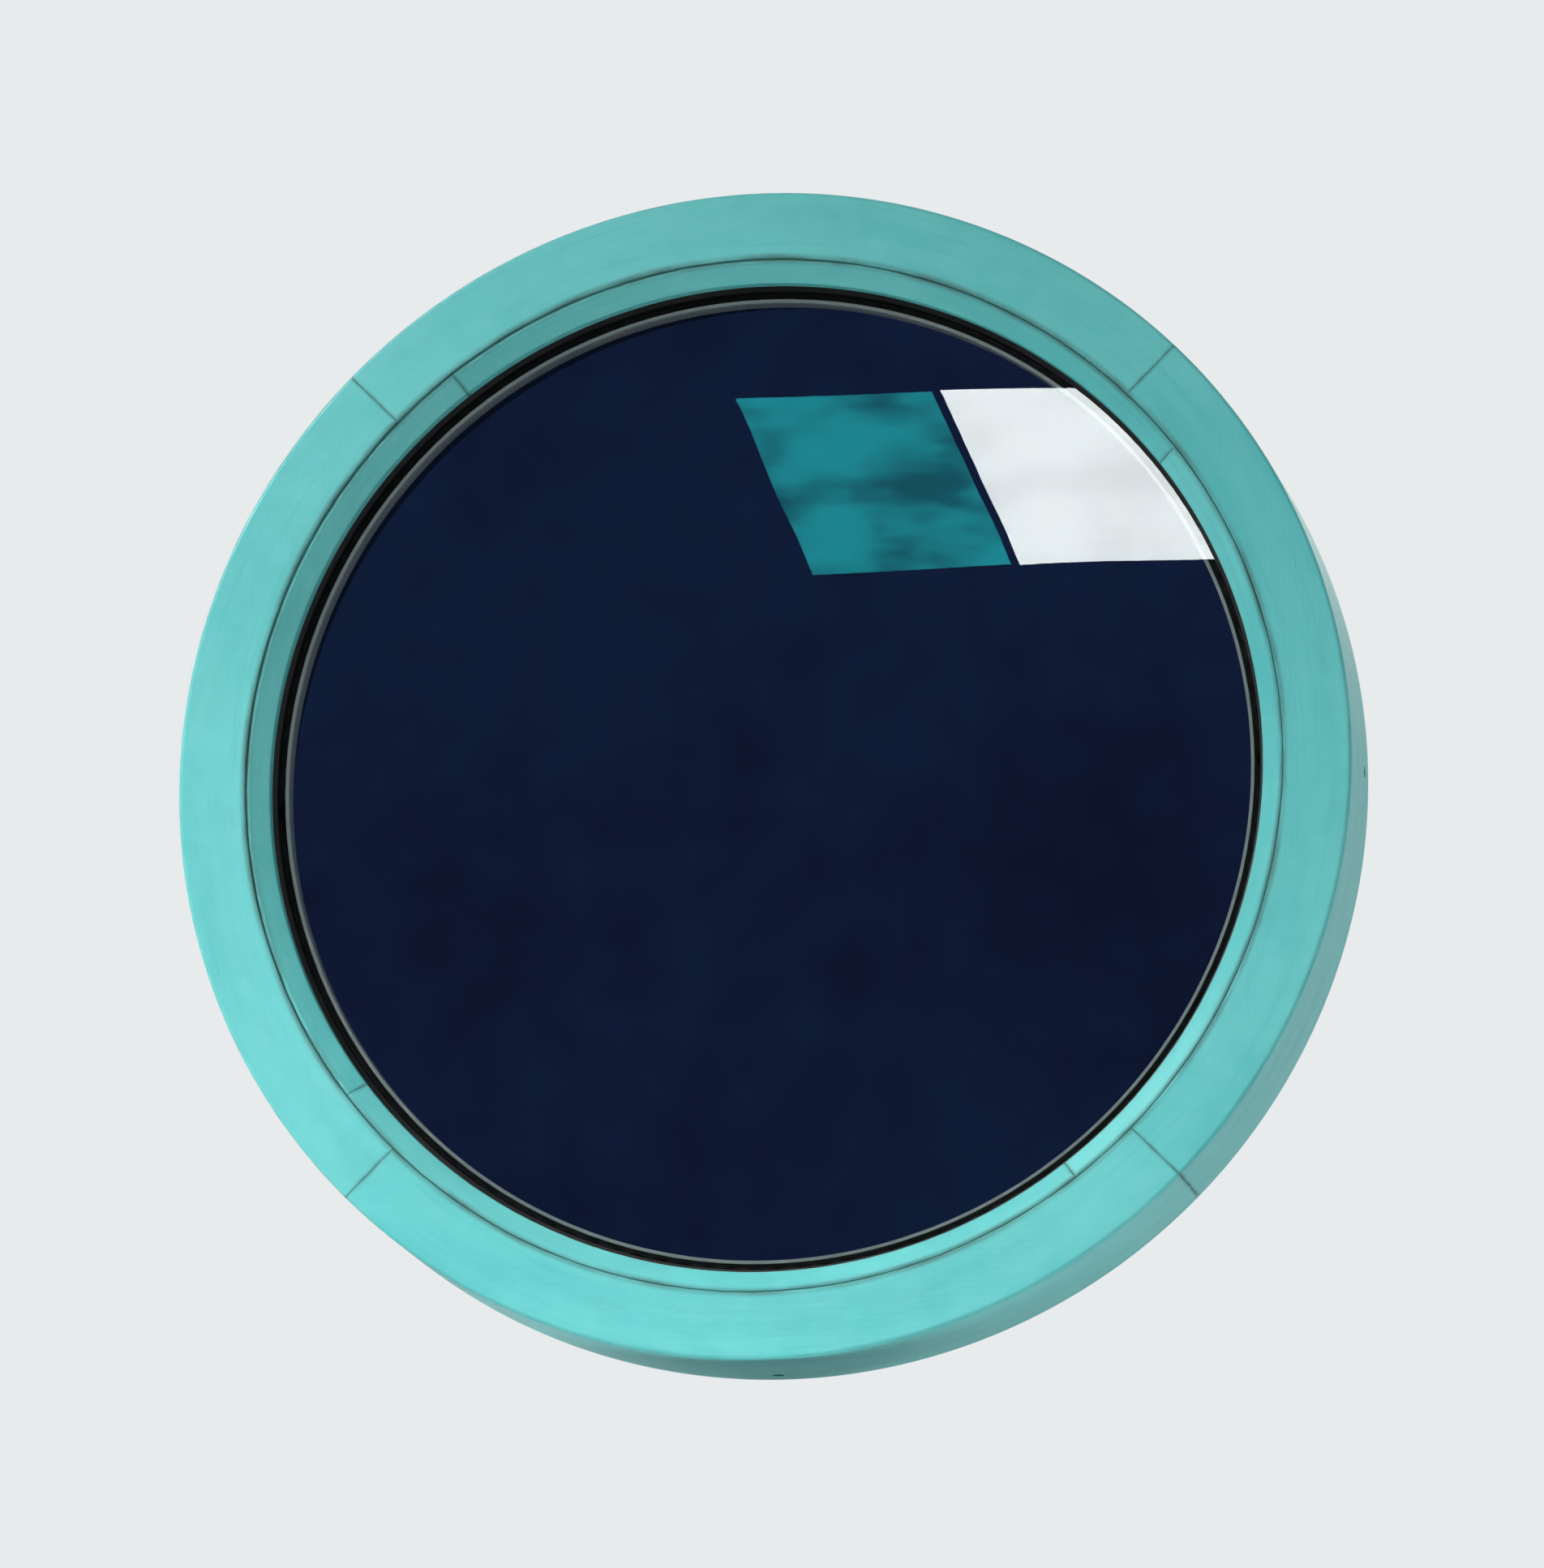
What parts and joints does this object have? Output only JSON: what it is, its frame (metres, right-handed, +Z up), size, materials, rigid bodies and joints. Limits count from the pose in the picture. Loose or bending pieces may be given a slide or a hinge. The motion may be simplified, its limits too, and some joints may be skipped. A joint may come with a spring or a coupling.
{
  "type": "oculus window",
  "caption": "Round fixed timber window with a chamfered glazing bead and a sealed double glazed unit, painted teal.",
  "frame": {"origin": "centre of the circle, halfway through the depth of the frame", "axes": "-Y towards the weather side, +Y towards the room, +Z up as installed"},
  "size_m": [0.8, 0.094, 0.8],
  "materials": {
    "painted_timber": "satin paint over close grained softwood",
    "painted_bead": "satin paint over close grained softwood",
    "stainless_pin": "plain drawn wire",
    "beech_tenon": "bare planed beech",
    "clear_glass": "clear float, polished",
    "tinted_glass": "dark blue tint, polished",
    "spacer_aluminium": "satin anodised",
    "spacer_key_plastic": "moulded",
    "desiccant_beads": "granular",
    "edge_sealant": "matt black",
    "butyl": "matt black",
    "gasket_rubber": "satin black",
    "glazing_tape": "closed cell foam",
    "block_plastic": "moulded packer"
  },
  "bodies": {
    "root": {"bead_head": "painted_bead", "bead_left": "painted_bead", "bead_pins": "stainless_pin", "bead_right": "painted_bead", "bead_sill": "painted_bead", "butyl_seal_inner": "butyl", "butyl_seal_outer": "butyl", "desiccant": "desiccant_beads", "edge_sealant": "edge_sealant", "frame_head": "painted_timber", "frame_left": "painted_timber", "frame_right": "painted_timber", "frame_sill": "painted_timber", "front_tenon_lower_left": "beech_tenon", "front_tenon_lower_right": "beech_tenon", "front_tenon_upper_left": "beech_tenon", "front_tenon_upper_right": "beech_tenon", "inner_glazing_tape": "glazing_tape", "inner_pane": "tinted_glass", "location_block_left": "block_plastic", "location_block_right": "block_plastic", "location_block_top": "block_plastic", "outer_gasket": "gasket_rubber", "outer_pane": "clear_glass", "rear_tenon_lower_left": "beech_tenon", "rear_tenon_lower_right": "beech_tenon", "rear_tenon_upper_left": "beech_tenon", "rear_tenon_upper_right": "beech_tenon", "setting_block_left": "block_plastic", "setting_block_right": "block_plastic", "spacer_bar": "spacer_aluminium", "spacer_key": "spacer_key_plastic"}
  },
  "joints": []
}
